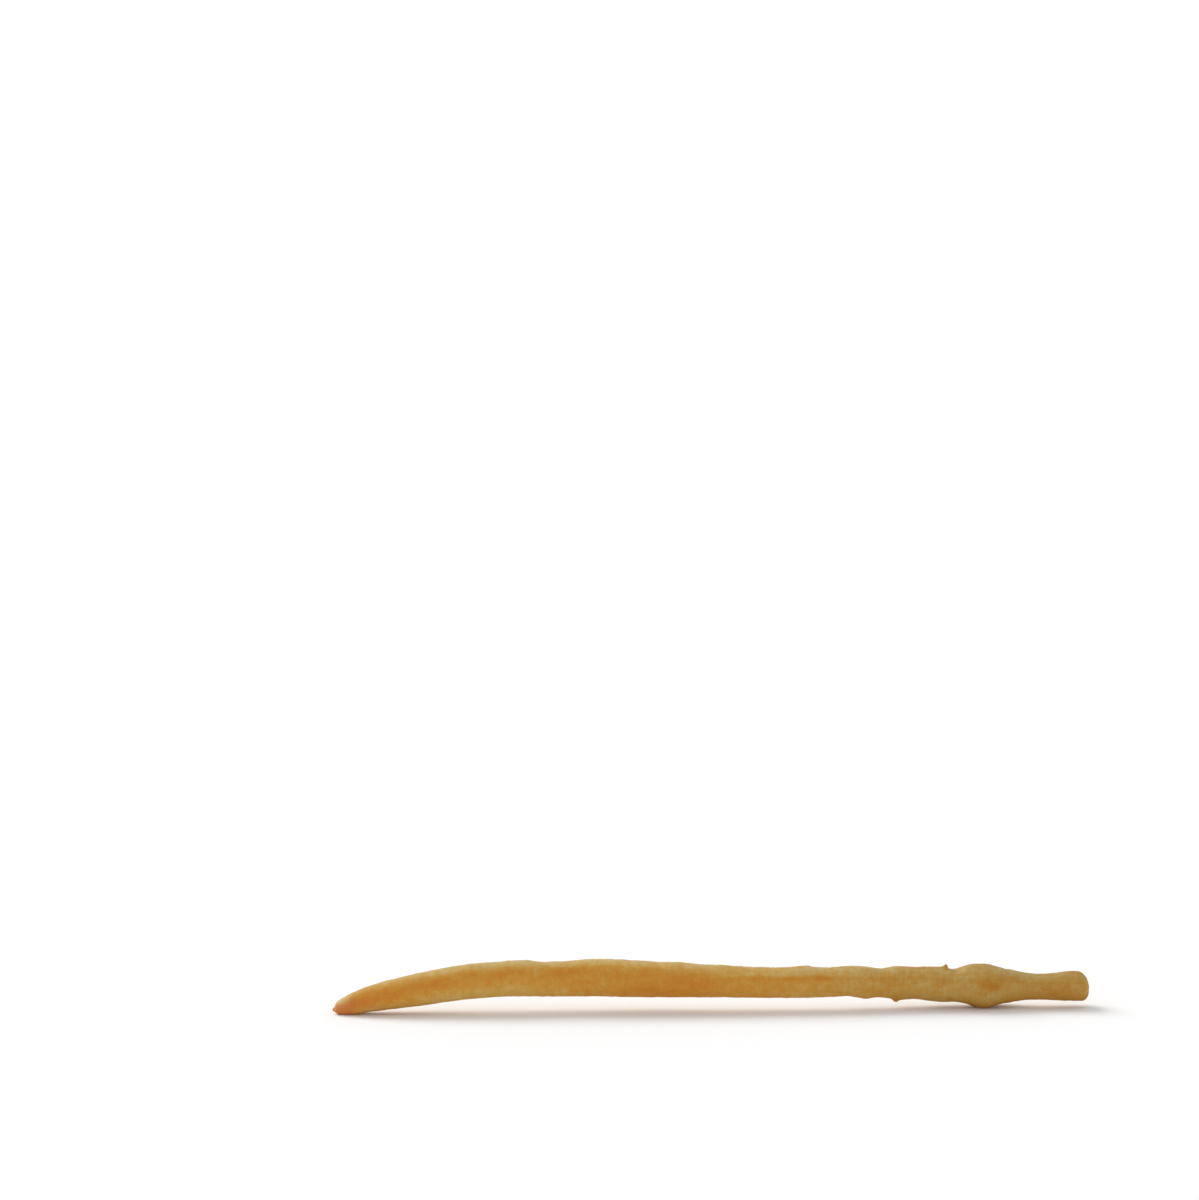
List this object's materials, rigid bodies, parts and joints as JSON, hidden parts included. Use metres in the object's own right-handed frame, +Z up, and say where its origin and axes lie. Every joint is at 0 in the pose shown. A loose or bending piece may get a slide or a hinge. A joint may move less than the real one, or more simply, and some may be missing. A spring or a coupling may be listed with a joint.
{
  "type": "grissini breadstick",
  "caption": "Crisp hand-stretched breadstick with a toasted, pinched tip, a knot near its blunt flared end and a gentle arch between two small flat resting spots.",
  "frame": {"origin": "on the surface the stick lies on, under the middle of its box", "axes": "+X along the stick, from the pinched toasted tip at -X to the blunt flared end; -Y is the side that faces the viewer; +Z up"},
  "size_m": [0.225, 0.0128, 0.0155],
  "materials": {
    "crust": "matte"
  },
  "bodies": {
    "root": {"breadstick": "crust"}
  },
  "joints": []
}
